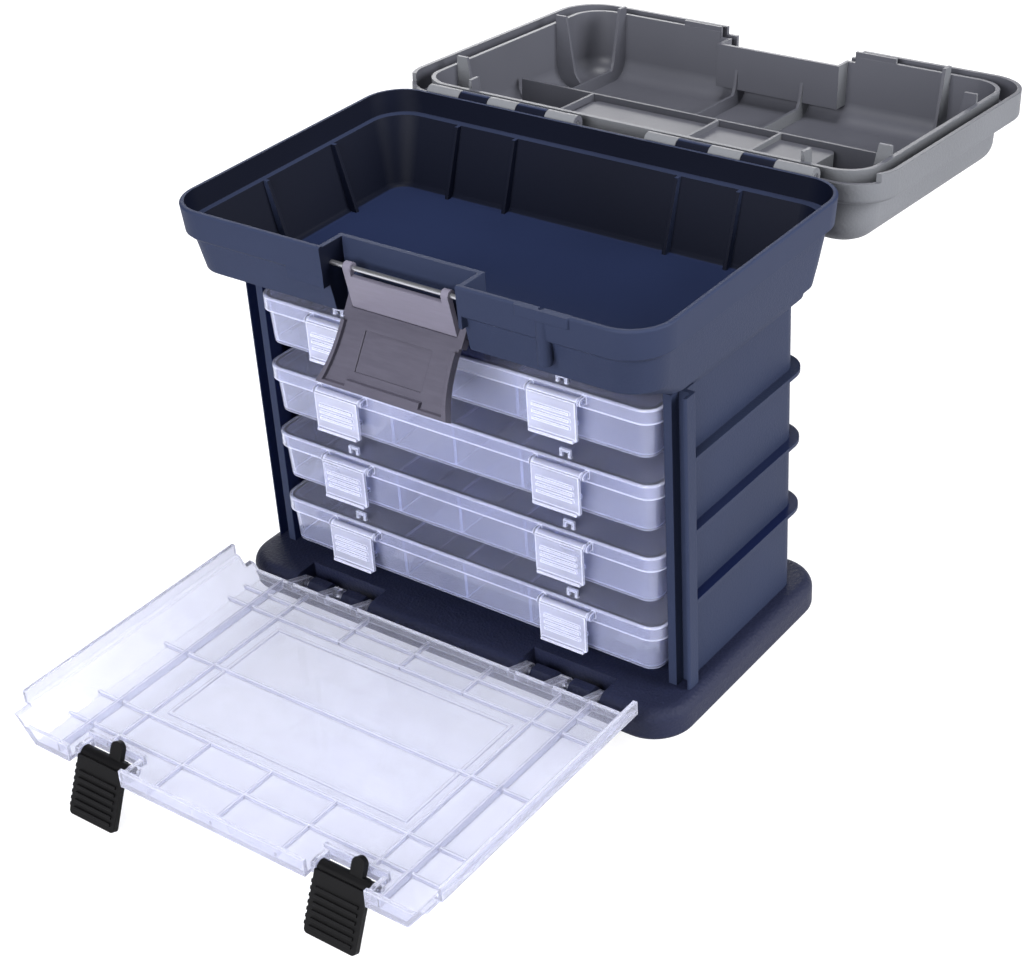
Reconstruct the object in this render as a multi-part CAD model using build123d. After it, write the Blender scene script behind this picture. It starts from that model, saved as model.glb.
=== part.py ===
"""Tackle box: four clear trays in a rack, an open bin above them, a hinged lid and a drop-down clear cover.

Millimetres, +Z up, -Y is the front. The origin lies on the ground under the middle of the base.
The box stands as it is used: lid thrown back, cover let down, main latch hanging.
"""

from build123d import *
import os

os.makedirs("parts", exist_ok=True)

# Plinth under the base
PLINTH_X = 114.0
PLINTH_Y = 56.0
PLINTH_R = 12.0
PLINTH_WALL = 3.0
PLINTH_FLOOR = 2.5
PLINTH_TOP = 13.5

# Base plate
BASE_X = 132.7
BASE_Y = 74.55
BASE_R = 21.0
BASE_TOP = 29.5
BASE_EDGE = 6.0
BASE_WALL = 3.0
SCREW_X = 96.0
SCREW_Y = 40.0
SCREW_R = 1.6
SCREW_HEAD_R = 3.2
SCREW_BOSS_R = 5.0

# Cover hinge in the front edge of the base
COVER_Y = -68.0
COVER_Z = 23.5
COVER_HINGE_X = 70.0
COVER_PIN_R = 1.5
RECESS_HALF = 24.0
RECESS_BACK = -58.0
RECESS_FLOOR = 18.5
HINGE_BLOCKS = ((-17.0, -5.0), (5.0, 17.0))
COVER_EARS = ((-23.0, -19.5), (-2.5, 2.5), (19.5, 23.0))
EAR_R = 4.0

# Rack walls
WALL_X = 122.9
WALL_BACK = 58.5
WALL_R = 10.4
WALL_T = 2.5
WALL_TOP = 185.0
FLANGE_OUT = 4.7
FLANGE_T = 2.0
FLANGE_Z = (74.4, 112.2, 150.0)
CORNER_X = 105.0
POST_IN = 116.0
POST_OUT = 127.6
POST_FRONT = -47.45
POST_BACK = -39.2
GROOVE_IN = 120.3
GROOVE_OUT = 126.2
GROOVE_BACK = -41.5

# Trays
TRAYS = 4
TRAY_PITCH = 38.5
TRAY_TOP = 177.3
TRAY_LID_X = 115.0
TRAY_LID_R = 9.0
TRAY_FRONT = -53.75
TRAY_BACK = 44.0
TRAY_SKIRT = 7.5
TRAY_WALL = 1.5
TRAY_LID_WALL = 1.2
TRAY_DEEP = 26.2
TRAY_FIT = 0.5
TRAY_DIVIDERS = (-38.0, 0.0, 39.0)
DIVIDER_T = 1.2
RUNNER_IN = 108.0
RUNNER_T = 2.0
TRAY_LATCH_X = 64.7
TRAY_LATCH_HALF = 13.15
TRAY_LATCH_Y = -56.6
TRAY_LATCH_DROP = 3.2
TRAY_LATCH_R = 2.0
TRAY_HINGE_Y = 46.4
TRAY_HINGE_DROP = 4.0
TRAY_HINGE_R = 1.8
TRAY_PIN_R = 0.9

# Top bin
# Outlines are (half width, front, back, corner radius)
RIM_TOP = (135.7, -87.1, 85.6, 21.3)
RIM_LOW = (134.7, -86.4, 84.6, 21.5)
SKIRT_TOP = (131.7, -83.4, 82.0, 19.0)
SKIRT_MIDDLE = (128.7, -79.3, 77.5, 17.0)
SKIRT_LOW = (127.3, -61.0, 73.0, 14.0)
BIN_FRONT = RIM_LOW[1]
BIN_TOP = 233.9
BAND_BOTTOM = 220.0
BAND_LOW = 213.5
SKIRT_BEND = 200.0
SKIRT_BOTTOM = 190.7
COVER_ROOM_X = 124.8
COVER_ROOM_TOP = 194.6
BIN_WALL = 2.4
BIN_FLOOR = 187.5
LEDGE_Z = 222.5
NOTCH_HALF = 38.0
NOTCH_BACK = -71.0

# Lid, stated as it lies when closed
LID_Y = 90.0
LID_Z = 231.5
LID_OPEN = 184.0
LID_OUTLINE = (141.5, -91.2, 85.6, 23.5)
DOME_LOW = (131.3, -83.6, 78.4, 18.4)
DOME_TOP = (130.2, -82.5, 77.3, 18.4)
LID_SKIRT_LOW = 230.0
LID_SKIRT_BACK = 74.0
LID_RIM = 234.3
LID_BAND_TOP = 244.5
LID_TOP = 269.6
LID_WALL = 2.3
LID_NOTCH_HALF = 36.0
LID_NOTCH_BACK = -73.0
LID_NOTCH_TOP = 256.0
KNUCKLE_R = 4.2
LID_PIN_R = 1.5
BIN_KNUCKLES = ((38.5, 56.5), (74.3, 92.3))
LID_KNUCKLES = ((20.6, 38.5), (56.5, 74.3), (92.3, 113.0))
KNUCKLE_GAP = 0.15
HANDLE_X = 68.0
HANDLE_Y = 1.5
HANDLE_Z = LID_TOP - 5.5
HANDLE_REACH = 24.0

# Main latch
LINK_Y = -79.5
LINK_Z = 224.0
LINK_LENGTH = 21.5
LINK_TILT = 12.0
LINK_HALF = 29.6
LATCH_PIN_R = 1.2
LATCH_BARREL_R = 2.6
FLAP_TILT = -32.5
FLAP_LENGTH = 38.3
FLAP_RIM = 2.2
FLAP_HALVES = (33.6, 32.6, 32.4, 32.6, 33.1, 34.0, 35.4, 37.4)

# Front cover, stated as it lies when let down
COVER_UNDER = 25.5
COVER_T = 2.2
COVER_HALF = 111.0
COVER_END = -238.0
COVER_START = -80.0
COVER_LATCH_X = 71.6
COVER_LATCH_Y = -229.5
COVER_LATCH_Z = 26.7
COVER_LATCH_HALF = 14.3
COVER_NOTCH_HALF = 16.6
LEVER_TILT = 113.7

RUN_CLEAR = 0.15


def box(x0, x1, y0, y1, z0, z1):
    """Block between two opposite corners."""
    return Pos((x0 + x1) / 2, (y0 + y1) / 2, (z0 + z1) / 2) * Box(x1 - x0, y1 - y0, z1 - z0)


def rod_x(x0, x1, y, z, r):
    """Round bar along X."""
    return Pos((x0 + x1) / 2, y, z) * Rot(0, 90, 0) * Cylinder(r, x1 - x0)


def rod_z(x, y, z0, z1, r):
    """Upright round bar."""
    return Pos(x, y, (z0 + z1) / 2) * Cylinder(r, z1 - z0)


def slab(half, front, back, r, z0, z1):
    """Rounded rectangle drawn up from z0 to z1."""
    outline = Pos(0, (front + back) / 2, z0) * RectangleRounded(2 * half, back - front, r)
    return extrude(outline, z1 - z0)


def flare(low, high, z0, z1):
    """Body whose rounded rectangle changes evenly from the low outline to the high one."""
    outlines = []
    for (half, front, back, r), z in ((low, z0), (high, z1)):
        outlines.append(Pos(0, (front + back) / 2, z) * RectangleRounded(2 * half, back - front, r))
    return loft(outlines)


def inset(outline, distance):
    """Rounded rectangle drawn in by the same distance all round."""
    half, front, back, r = outline
    return half - distance, front + distance, back - distance, r - distance


def profile_x(points, x0, x1):
    """Outline given in Y and Z, drawn along X from x0 to x1."""
    face = make_face(Polyline(*[(x0, y, z) for y, z in points], close=True))
    return extrude(face, x1 - x0, dir=(1, 0, 0))


def flip(shape):
    """Mirror image across the middle of the box."""
    return mirror(shape, about=Plane.YZ)


def turned(shape, y, z, angle):
    """Shape turned about the line along X through (y, z)."""
    return Pos(0, y, z) * Rot(angle, 0, 0) * Pos(0, -y, -z) * shape


def save(shape, name):
    """Write one named piece."""
    solids = shape.solids()
    whole = solids[0] if len(solids) == 1 else Compound(children=list(solids))
    whole.label = name
    export_step(whole, f"parts/{name}.step")
    print(name, len(solids), round(sum(s.volume for s in solids)))


# Base


def base_plinth():
    """Closed tray under the base plate; its flat bottom is what stands on the ground."""
    body = slab(PLINTH_X, -PLINTH_Y, PLINTH_Y, PLINTH_R, 0, PLINTH_TOP)
    body = chamfer(body.faces().sort_by(Axis.Z)[0].edges(), 0.8)
    foot = (PLINTH_X, -PLINTH_Y, PLINTH_Y, PLINTH_R)
    body -= slab(*inset(foot, PLINTH_WALL), PLINTH_FLOOR, PLINTH_TOP + 1)
    for sx in (-1, 1):
        for sy in (-1, 1):
            x, y = sx * SCREW_X, sy * SCREW_Y
            body += rod_z(x, y, PLINTH_FLOOR - 0.5, PLINTH_TOP, SCREW_BOSS_R)
            body -= rod_z(x, y, -1, PLINTH_TOP + 1, SCREW_R + RUN_CLEAR)
            body -= rod_z(x, y, -1, 3.0, SCREW_HEAD_R + RUN_CLEAR)
    return body


def base_screws():
    """Four pan-head screws that hold the plinth to the base plate."""
    screws = []
    for sx in (-1, 1):
        for sy in (-1, 1):
            x, y = sx * SCREW_X, sy * SCREW_Y
            head = rod_z(x, y, 0.6, 3.0, SCREW_HEAD_R) - box(x - 2, x + 2, y - 0.4, y + 0.4, 0, 1.6)
            head -= box(x - 0.4, x + 0.4, y - 2, y + 2, 0, 1.6)
            screws.append(head + rod_z(x, y, 2.9, 23.0, SCREW_R))
    return Compound(children=[s.solid() for s in screws])


def base_plate():
    """Wide foot of the rack, hollow below, with two recesses for the cover's hinges."""
    body = slab(BASE_X, -BASE_Y, BASE_Y, BASE_R, PLINTH_TOP, BASE_TOP)
    body = fillet(body.faces().sort_by(Axis.Z)[-1].edges(), BASE_EDGE)
    body = fillet(body.faces().sort_by(Axis.Z)[0].edges(), 2.5)
    rim = (BASE_X, -BASE_Y, BASE_Y, BASE_R)
    hollow = slab(*inset(rim, BASE_WALL + 1), PLINTH_TOP - 1, BASE_TOP - BASE_WALL)
    hollow = fillet(hollow.faces().sort_by(Axis.Z)[-1].edges(), 4)
    body -= hollow
    foot = (PLINTH_X, -PLINTH_Y, PLINTH_Y, PLINTH_R)
    seat = slab(*foot, PLINTH_TOP, BASE_TOP - 1)
    seat -= slab(*inset(foot, PLINTH_WALL), PLINTH_TOP - 1, BASE_TOP)
    body += seat
    for sx in (-1, 1):
        for sy in (-1, 1):
            x, y = sx * SCREW_X, sy * SCREW_Y
            body += rod_z(x, y, PLINTH_TOP, BASE_TOP - 1, SCREW_BOSS_R)
            body -= rod_z(x, y, PLINTH_TOP - 1, 24.0, SCREW_R)
    for centre in (-COVER_HINGE_X, COVER_HINGE_X):
        x0, x1 = centre - RECESS_HALF, centre + RECESS_HALF
        well = box(x0 - 3, x1 + 3, -BASE_Y + 3.2, RECESS_BACK + 3, RECESS_FLOOR - 3, BASE_TOP - 1)
        body += well
        body -= box(x0, x1, -BASE_Y - 2, RECESS_BACK, RECESS_FLOOR, BASE_TOP + 1)
        body -= box(centre - 11, centre + 11, -66, -59, PLINTH_TOP - 1, BASE_TOP)
        for a, b in HINGE_BLOCKS:
            block = profile_x(
                ((-73, 18), (-73, 24.5), (-70.5, 27.5), (-65.5, 27.5), (-62.5, 24.5), (-62.5, 18)),
                centre + a,
                centre + b,
            )
            body += block
        body -= rod_x(x0 - 2.5, x1 + 2.5, COVER_Y, COVER_Z, COVER_PIN_R)
    return body


def cover_hinge_pin(centre):
    """Steel rod through one group of cover hinge blocks."""
    half = RECESS_HALF + 2.5
    return rod_x(centre - half, centre + half, COVER_Y, COVER_Z, COVER_PIN_R)


# Rack


def rack_shell():
    """Outline of the rack walls with the three stiffening flanges, before it is divided."""
    front = -90.0
    inner = slab(
        WALL_X - WALL_T, front - 10, WALL_BACK - WALL_T, WALL_R - WALL_T, BASE_TOP - 1, WALL_TOP + 1
    )
    shell = slab(WALL_X, front, WALL_BACK, WALL_R, BASE_TOP, WALL_TOP)
    for z in FLANGE_Z:
        reach = FLANGE_OUT
        shell += slab(WALL_X + reach, front, WALL_BACK + reach, WALL_R + reach, z, z + FLANGE_T)
    return shell - inner


def side_wall():
    """Right wall of the rack with its rear corner and its grooved front post."""
    wall = rack_shell() & box(CORNER_X, 140, POST_BACK - 1, BASE_Y, BASE_TOP, WALL_TOP)
    post = box(POST_IN, POST_OUT, POST_FRONT, POST_BACK, BASE_TOP, WALL_TOP)
    upright = post.edges().filter_by(Axis.Z)
    post = fillet(upright.group_by(Axis.X)[-1], 1.2)
    post -= box(GROOVE_IN, GROOVE_OUT, POST_FRONT - 1, GROOVE_BACK, BASE_TOP - 1, WALL_TOP + 1)
    return wall + post


def back_wall():
    """Rear wall of the rack between the two rounded corners."""
    return rack_shell() & box(-CORNER_X, CORNER_X, 30, BASE_Y, BASE_TOP, WALL_TOP)


def tray_runners():
    """Four right-hand ledges that the trays slide on, joined by an upright strip at the wall."""
    rail = box(WALL_X - WALL_T - 1.6, WALL_X - WALL_T, -20, -12, BASE_TOP, WALL_TOP)
    rail += box(WALL_X - WALL_T - 1.6, WALL_X - WALL_T, 24, 32, BASE_TOP, WALL_TOP)
    for n in range(TRAYS):
        top = TRAY_TOP - n * TRAY_PITCH - TRAY_DEEP
        rail += box(RUNNER_IN, WALL_X - WALL_T, -38, 40, top - RUNNER_T, top)
    return rail


# Trays


def tray_latch_spans():
    """Left and right centres of a tray's two latches."""
    return (-TRAY_LATCH_X, TRAY_LATCH_X)


def tray_body(top):
    """Open clear box with a catch ridge for each latch and barrels at the back."""
    low = (TRAY_LID_X - 3.2, TRAY_FRONT + 2.4, TRAY_BACK - 2.2, 7.0)
    high = inset((TRAY_LID_X, TRAY_FRONT, TRAY_BACK, TRAY_LID_R), TRAY_LID_WALL + TRAY_FIT)
    z0 = top - TRAY_DEEP
    z1 = top - TRAY_LID_WALL
    body = flare(low, high, z0, z1)
    body = fillet(body.faces().sort_by(Axis.Z)[0].edges(), 1.2)
    body -= flare(inset(low, TRAY_WALL), inset(high, TRAY_WALL), z0 + TRAY_WALL, z1 + 0.01)
    for x in tray_latch_spans():
        body += box(x - 9, x + 9, TRAY_FRONT - 0.9, TRAY_FRONT + 2.6, top - 18.6, top - 16.6)
        a = x - 9
        body += box(a, a + 10, TRAY_BACK - 2.6, TRAY_HINGE_Y, top - 10.8, top - TRAY_SKIRT - 0.3)
        body += rod_x(a, a + 10, TRAY_HINGE_Y, top - TRAY_HINGE_DROP - 3.6, TRAY_HINGE_R)
        body -= rod_x(a - 1, a + 11, TRAY_HINGE_Y, top - TRAY_HINGE_DROP - 3.6, TRAY_PIN_R)
    return body


def tray_lid(top):
    """Clear lid with a skirt, latch ears, a small loop beside each latch and a moulded grip line."""
    outline = (TRAY_LID_X, TRAY_FRONT, TRAY_BACK, TRAY_LID_R)
    lid = slab(*outline, top - TRAY_SKIRT, top)
    lid = fillet(lid.faces().sort_by(Axis.Z)[-1].edges(), 0.9)
    lid -= slab(*inset(outline, TRAY_LID_WALL), top - TRAY_SKIRT - 1, top - TRAY_LID_WALL)
    z = top - TRAY_LATCH_DROP
    for x in tray_latch_spans():
        for s in (-1, 1):
            inner = x + s * (TRAY_LATCH_HALF + RUN_CLEAR)
            outer = x + s * (TRAY_LATCH_HALF + 2.0)
            ear = box(min(inner, outer), max(inner, outer), TRAY_LATCH_Y, TRAY_FRONT + 0.5, z - 2, z + 2)
            lid += ear + rod_x(min(inner, outer), max(inner, outer), TRAY_LATCH_Y, z, TRAY_LATCH_R)
        lid += rod_x(x - TRAY_LATCH_HALF - 1.8, x + TRAY_LATCH_HALF + 1.8, TRAY_LATCH_Y, z, 0.8)
        loop = box(x - 3, x + 3, -50.6, -49.2, top - 0.5, top + 3.8)
        lid += loop - box(x - 1.6, x + 1.6, -51, -49, top, top + 2.4)
        b = x + 1.2
        lid += box(b, b + 10, TRAY_BACK - 0.6, TRAY_HINGE_Y, top - TRAY_SKIRT, top - 4.2)
        lid += rod_x(b, b + 10, TRAY_HINGE_Y, top - TRAY_HINGE_DROP - 3.6, TRAY_HINGE_R)
        lid -= rod_x(b - 1, b + 11, TRAY_HINGE_Y, top - TRAY_HINGE_DROP - 3.6, TRAY_PIN_R)
    return lid


def tray_hinge_pins(top):
    """Two thin rods in the barrels at the back of a tray."""
    pins = []
    for x in tray_latch_spans():
        pins.append(rod_x(x - 9, x + 11.2, TRAY_HINGE_Y, top - TRAY_HINGE_DROP - 3.6, TRAY_PIN_R).solid())
    return Compound(children=pins)


def tray_dividers(top):
    """Three loose cross partitions that stand on the floor of a tray."""
    z0 = top - TRAY_DEEP + TRAY_WALL
    z1 = top - 3.0
    front = TRAY_FRONT + 4.4
    back = TRAY_BACK - 4.2
    t = DIVIDER_T / 2
    walls = [box(x - t, x + t, front, back, z0, z1).solid() for x in TRAY_DIVIDERS]
    return Compound(children=walls)


def tray_latch(top, x):
    """Snap latch of a tray: split barrel, ribbed plate and a tooth under the tray's ridge."""
    z = top - TRAY_LATCH_DROP
    x0, x1 = x - TRAY_LATCH_HALF, x + TRAY_LATCH_HALF
    latch = rod_x(x0, x1, TRAY_LATCH_Y, z, TRAY_LATCH_R)
    plate = box(x0, x1, TRAY_LATCH_Y - 3.0, TRAY_LATCH_Y - 1.4, top - 22.4, z + 0.6)
    latch += plate
    for i in range(3):
        ridge = top - 9.4 - i * 3.6
        latch += box(x0 + 3, x1 - 3, TRAY_LATCH_Y - 3.9, TRAY_LATCH_Y - 2.8, ridge, ridge + 1.4)
    latch += box(x0 + 1, x1 - 1, TRAY_LATCH_Y - 4.4, TRAY_LATCH_Y - 1.6, top - 23.0, top - 21.6)
    latch += box(x - 8, x + 8, TRAY_LATCH_Y - 2, TRAY_FRONT + 0.2, top - 20.6, top - 18.9)
    return latch - rod_x(x0 - 1, x1 + 1, TRAY_LATCH_Y, z, 0.8 + RUN_CLEAR)


# Top bin


def knuckle(x0, x1, web):
    """Hinge barrel on the lid's axis with its web, bored for the rod."""
    a, b = x0 + KNUCKLE_GAP, x1 - KNUCKLE_GAP
    body = rod_x(a, b, LID_Y, LID_Z, KNUCKLE_R) + profile_x(web, a, b)
    return body - rod_x(a - 1, b + 1, LID_Y, LID_Z, LID_PIN_R + RUN_CLEAR)


def both_sides(spans):
    """Spans on the right and the same spans mirrored to the left."""
    return list(spans) + [(-b, -a) for a, b in spans]


def bin_envelope():
    """Outer skin of the top bin: rim band, flared skirt and the deep inner box."""
    band = flare(RIM_LOW, RIM_TOP, BAND_BOTTOM, BIN_TOP)
    band = fillet(band.faces().sort_by(Axis.Z)[-1].edges(), 1.0)
    band += flare(inset(RIM_LOW, 1.5), RIM_LOW, BAND_BOTTOM - 1.5, BAND_BOTTOM)
    skirt = flare(SKIRT_MIDDLE, SKIRT_TOP, SKIRT_BEND, BAND_BOTTOM + 0.01)
    return band + skirt + flare(SKIRT_LOW, SKIRT_MIDDLE, SKIRT_BOTTOM, SKIRT_BEND)


def bin_box():
    """Outside of the deep inner box, whose front leans forward over the trays."""
    return flare((123.6, -40.6, 69.6, 12.0), (131.0, -80.4, 79.6, 18.0), WALL_TOP, BAND_BOTTOM)


def bin_hollow():
    """Inside of the bin: the sloping deep part and the wide step at the rim."""
    deep = flare((121.0, -38.0, 67.0, 10.0), (129.0, -80.0, 78.0, 17.0), BIN_FLOOR, LEDGE_Z)
    deep = fillet(deep.faces().sort_by(Axis.Z)[0].edges(), 3.0)
    return deep + flare(inset(RIM_LOW, BIN_WALL), inset(RIM_TOP, BIN_WALL), LEDGE_Z, BIN_TOP + 0.1)


def bin_gussets():
    """Upright stiffeners inside the bin, from its floor to the step."""
    cut = flare((116.5, -36.0, 62.5, 8.0), (126.5, -77.0, 75.0, 15.0), BIN_FLOOR - 0.01, LEDGE_Z + 0.01)
    ribs = []
    for x in (-86.0, -50.0, 46.0, 80.0):
        ribs.append(box(x - 1, x + 1, 40, 81, BIN_FLOOR - 1, LEDGE_Z))
    for y in (-23.0, 28.0):
        for x in (-120.0, 120.0):
            ribs.append(box(x - 11, x + 11, y - 1, y + 1, BIN_FLOOR - 1, LEDGE_Z))
    body = ribs[0]
    for rib in ribs[1:]:
        body += rib
    return (body & bin_envelope_solid()) - cut


def bin_envelope_solid():
    """Envelope and inner box as one, used to trim what stands inside."""
    return bin_envelope() + bin_box()


def top_bin():
    """Open bin on top of the rack with the latch notch in front and hinge barrels behind."""
    body = bin_envelope_solid() - bin_hollow()
    under = flare(inset(SKIRT_LOW, 2.0), inset(SKIRT_MIDDLE, 2.0), SKIRT_BOTTOM - 0.01, SKIRT_BEND)
    under += flare(inset(SKIRT_MIDDLE, 2.0), inset(SKIRT_TOP, 2.0), SKIRT_BEND - 0.01, BAND_BOTTOM - 0.6)
    under = under & box(-121, 121, -90, -30, SKIRT_BOTTOM - 1, BAND_BOTTOM)
    under += box(-COVER_ROOM_X, COVER_ROOM_X, -80, -46, SKIRT_BOTTOM - 1, COVER_ROOM_TOP)
    body -= under - bin_box()
    body += bin_gussets()
    lip = box(-60, NOTCH_HALF + 2, BIN_FRONT, BIN_FRONT + 4.2, BAND_LOW, BAND_BOTTOM + 2)
    body += lip
    half = NOTCH_HALF + BIN_WALL
    cheeks = box(-half, half, BIN_FRONT + 0.4, NOTCH_BACK + BIN_WALL, SKIRT_BOTTOM, BIN_TOP - 0.6)
    body += cheeks & bin_envelope()
    body -= box(-NOTCH_HALF, NOTCH_HALF, BIN_FRONT - 5, NOTCH_BACK, SKIRT_BOTTOM - 1, BIN_TOP + 1)
    for s in (-1, 1):
        x = s * 32.3
        body -= box(x - 2.6, x + 2.6, NOTCH_BACK - 1, NOTCH_BACK + 4, 199.0, 213.0)
    body -= rod_x(-NOTCH_HALF - 1.6, NOTCH_HALF + 1.6, LINK_Y, LINK_Z, LATCH_PIN_R)
    boss = box(69, 97, BIN_FRONT - 1.7, BIN_FRONT + 2, BIN_TOP - 5, BIN_TOP)
    boss = fillet(boss.edges().filter_by(Axis.Z).group_by(Axis.Y)[0], 1.5)
    body += boss + rod_z(81.8, BIN_FRONT + 2.0, BAND_LOW - 6, BIN_TOP - 4, 3.4)
    body -= rod_z(81.8, BIN_FRONT + 1.2, BIN_TOP - 8, BIN_TOP + 1, 1.3)
    back = RIM_LOW[2]
    for a, b in both_sides(LID_KNUCKLES):
        body -= rod_x(a - 0.4, b + 0.4, LID_Y, LID_Z, KNUCKLE_R + 0.6)
    web = ((back - 1, 222.0), (back - 1, 229.0), (88.0, LID_Z + 1), (LID_Y, LID_Z), (LID_Y + 2.5, LID_Z - 3))
    for a, b in both_sides(BIN_KNUCKLES):
        body += knuckle(a, b, web)
    return body


# Lid


def lid_hollow():
    """Inside of the lid with scooped edges."""
    hollow = flare(inset(DOME_LOW, LID_WALL), inset(DOME_TOP, LID_WALL), LID_SKIRT_LOW, LID_TOP - 2.5)
    return fillet(hollow.faces().sort_by(Axis.Z)[-1].edges(), 11.0)


def lid_ribs():
    """Curved wall ribs and the low grid on the lid's inner panel."""
    panel = LID_TOP - 2.0
    scoop = flare((123.1, -75.4, 70.2, 13.0), (115.0, -67.3, 62.1, 13.0), LID_RIM - 12, LID_TOP - 4.0)
    scoop = fillet(scoop.faces().sort_by(Axis.Z)[-1].edges(), 12.0)
    walls = []
    for x in (-106.0, -25.0, 16.0, 97.0):
        walls.append(box(x - 0.9, x + 0.9, -82, -40, LID_RIM - 8, panel))
    for x in (-98.0, 98.0):
        walls.append(box(x - 0.9, x + 0.9, 50, 77, LID_RIM - 8, panel))
    for y in (-46.0, 46.0):
        for x in (-119.5, 119.5):
            walls.append(box(x - 10, x + 10, y - 0.9, y + 0.9, LID_RIM - 8, panel))
    upright = walls[0]
    for wall in walls[1:]:
        upright += wall
    keep = slab(*inset(DOME_LOW, LID_WALL - 0.1), LID_RIM - 9, panel)
    upright = (upright & keep) - scoop
    low = LID_RIM + 18.0
    grid = box(-125, 125, -7.9, -6.1, low, panel) + box(-125, 125, 29.1, 30.9, low, panel)
    for x in (-77.0, 2.5, 40.0):
        grid += box(x - 0.9, x + 0.9, -7, 30, low, panel)
    for x in (-106.0, -25.0, 16.0, 97.0):
        grid += box(x - 0.9, x + 0.9, -78, -7, LID_TOP - 9, panel)
    return upright + grid


def lid_closed():
    """Lid as it lies on the bin: double rim, domed body, ribs, latch notch and hinge barrels."""
    band = slab(*LID_OUTLINE, LID_SKIRT_LOW, LID_BAND_TOP)
    band = fillet(band.faces().sort_by(Axis.Z)[-1].edges(), 2.2)
    band -= slab(*inset(LID_OUTLINE, LID_WALL), LID_SKIRT_LOW - 1, LID_BAND_TOP - 2.6)
    band -= box(-150, 150, LID_SKIRT_BACK, 100, LID_SKIRT_LOW - 1, LID_RIM)
    dome = flare(DOME_LOW, DOME_TOP, LID_SKIRT_LOW + 1, LID_TOP)
    dome = fillet(dome.faces().sort_by(Axis.Z)[-1].edges(), 12.0)
    hollow = lid_hollow()
    body = (band + dome) - hollow
    ribs = lid_ribs()
    inner = LID_WALL - 0.1
    trim = flare(inset(DOME_LOW, inner), inset(DOME_TOP, inner), LID_RIM, LID_TOP - 2.2)
    trim += slab(*inset(DOME_LOW, inner), LID_RIM - 9, LID_RIM + 0.2)
    body += ribs & trim & (dome + slab(*inset(DOME_LOW, inner), LID_RIM - 9, LID_RIM + 0.2))
    wide = LID_NOTCH_HALF + 2
    notch_wall = box(-wide, wide, -93.0, LID_NOTCH_BACK + 2.2, LID_RIM, LID_NOTCH_TOP + 2.2)
    body += notch_wall & (dome + band)
    body -= box(-LID_NOTCH_HALF, LID_NOTCH_HALF, -95, LID_NOTCH_BACK, LID_RIM - 10, LID_NOTCH_TOP)
    cheek = NOTCH_HALF + BIN_WALL + 2
    body -= box(-cheek, cheek, -95, -60, LID_SKIRT_LOW - 1, LID_RIM)
    for s in (-1, 1):
        x = s * 32.2
        body += box(x - 1.6, x + 1.6, LID_NOTCH_BACK - 1.8, LID_NOTCH_BACK + 0.5, 245.2, 247.6)
        tab = s * 54.0
        body += box(tab - 12, tab + 12, -83.4, -81.6, LID_RIM - 6, LID_RIM + 1)
    well = slab(74.0, -4.5, 28.5, 4.0, LID_TOP - 14.4, LID_TOP)
    body += well & lid_dome_fill()
    body -= slab(71.6, -2.1, 26.1, 3.0, LID_TOP - 12.0, LID_TOP + 1)
    for s in (-1, 1):
        x = s * HANDLE_X
        block = box(min(x, x + s * 3.6), max(x, x + s * 3.6), -2.5, 5.5, LID_TOP - 12.5, LID_TOP - 1.5)
        body += block
    body -= rod_x(-HANDLE_X - 3.0, HANDLE_X + 3.0, HANDLE_Y, HANDLE_Z, 1.5)
    y = LID_OUTLINE[2] - 1
    low = LID_RIM + 0.2
    web = ((y, low), (LID_Y - 3.4, low), (LID_Y, LID_Z), (LID_Y + 0.5, LID_Z + 4.1), (y, LID_BAND_TOP - 3))
    for a, b in both_sides(LID_KNUCKLES):
        body += knuckle(a, b, web)
    return body


def lid_dome_fill():
    """Room inside the lid that the handle well may take."""
    return slab(120, -60, 60, 10, LID_RIM + 2, LID_TOP)


def handle_closed():
    """Folded carry handle: two arms and a rounded grip."""
    y0, z0 = HANDLE_Y, HANDLE_Z
    grip_y = y0 + HANDLE_REACH - 4
    bar = rod_x(-HANDLE_X + 0.6, HANDLE_X - 0.6, grip_y, z0, 4.0)
    for s in (-1, 1):
        outer = s * (HANDLE_X - 0.3)
        inner = s * (HANDLE_X - 6.3)
        a, b = min(outer, inner), max(outer, inner)
        bar += box(a, b, y0, grip_y, z0 - 3, z0 + 3) + rod_x(a, b, y0, z0, 3.2)
    return bar - rod_x(-HANDLE_X, HANDLE_X, y0, z0, 1.5 + RUN_CLEAR)


def handle_pins_closed():
    """Two short rods that the handle turns on."""
    pins = []
    for s in (-1, 1):
        a, b = s * (HANDLE_X - 6.2), s * (HANDLE_X + 3.0)
        pins.append(rod_x(min(a, b), max(a, b), HANDLE_Y, HANDLE_Z, 1.5).solid())
    return Compound(children=pins)


def opened(shape):
    """A lid piece thrown back to where the lid rests when open."""
    return turned(shape, LID_Y, LID_Z, -LID_OPEN)


def lid_hinge_pin():
    """Right-hand rod of the lid hinge."""
    return rod_x(20.2, 113.4, LID_Y, LID_Z, LID_PIN_R)


# Main latch, each piece drawn hanging straight down from its pivot, then turned


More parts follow.
